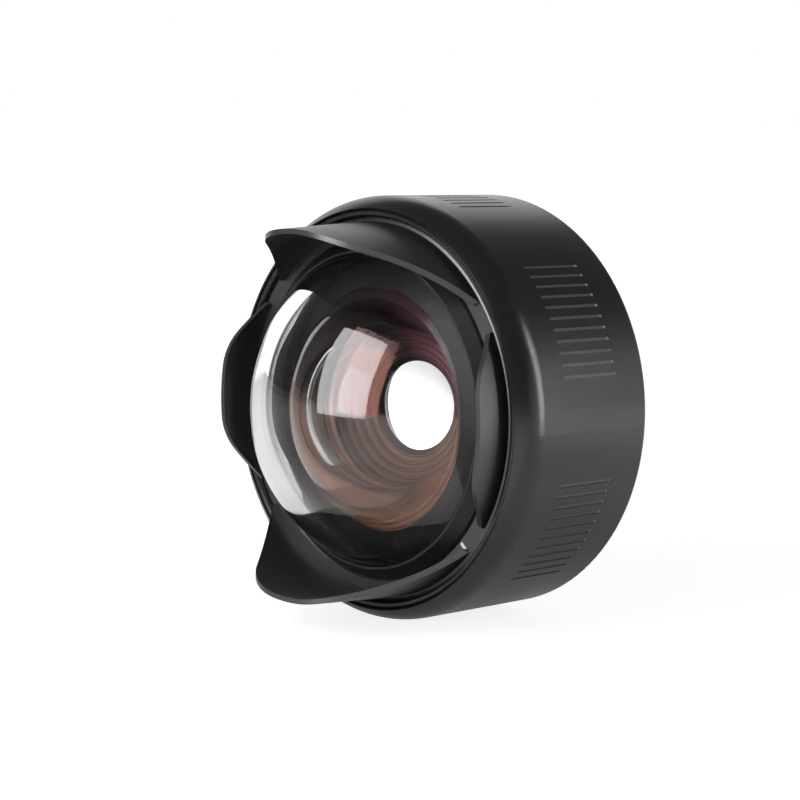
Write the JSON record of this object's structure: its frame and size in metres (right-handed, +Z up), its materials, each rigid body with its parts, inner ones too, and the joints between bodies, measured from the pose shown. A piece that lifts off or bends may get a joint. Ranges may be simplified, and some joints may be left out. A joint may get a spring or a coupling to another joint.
{
  "type": "wide-angle conversion port",
  "caption": "Round lens port with a domed front glass inside a petal hood, a fat float collar with grip slots, and a sealed bayonet spigot at the back.",
  "frame": {"origin": "centre of the rear seat face, on the lens axis", "axes": "+Y along the lens axis towards the camera housing, so the lens looks along -Y; +Z up, with the tall petals above and below"},
  "size_m": [0.17, 0.1292, 0.17],
  "materials": {
    "collar_black": "satin black hard anodised",
    "barrel_black": "satin black hard anodised",
    "hood_black": "satin black hard anodised, matte inside",
    "mount_black": "black hard anodised with bare edges at the lugs",
    "ring_black": "matte black anodised",
    "trap_black": "flat black anodised",
    "coated_glass": "polished with anti-reflection coatings",
    "seal_rubber": "smooth, lightly greased",
    "glide_plastic": "low-friction plastic",
    "fastener_steel": "stainless",
    "mark_white": "filled paint"
  },
  "bodies": {
    "port": {"collar_shell": "collar_black", "lens_barrel": "barrel_black", "hood_glide_ring": "glide_plastic", "hood_snap_wire": "fastener_steel", "front_bezel": "ring_black", "dome_lens": "coated_glass", "dome_seal": "seal_rubber", "baffle_ring": "ring_black", "second_lens": "coated_glass", "light_trap": "trap_black", "third_lens": "coated_glass", "third_ring": "ring_black", "fourth_lens": "coated_glass", "fifth_lens": "coated_glass", "rear_spacer": "ring_black", "rear_lens": "coated_glass", "rear_ring": "ring_black", "flange_seal": "seal_rubber", "rear_plate": "barrel_black", "plate_seal": "seal_rubber", "barrel_seal": "seal_rubber", "barrel_nut": "ring_black", "mount_ring": "mount_black", "mount_seal": "seal_rubber", "mount_dot": "mark_white", "plate_screws": "fastener_steel", "mount_screws": "fastener_steel"},
    "hood": {"petal_hood": "hood_black", "index_mark": "mark_white"}
  },
  "joints": [
    {"name": "hood_turn", "type": "hinge", "parent": "port", "child": "hood", "pos_m": [0, -0.066, 0], "axis": [0, 1, 0], "continuous": true}
  ]
}
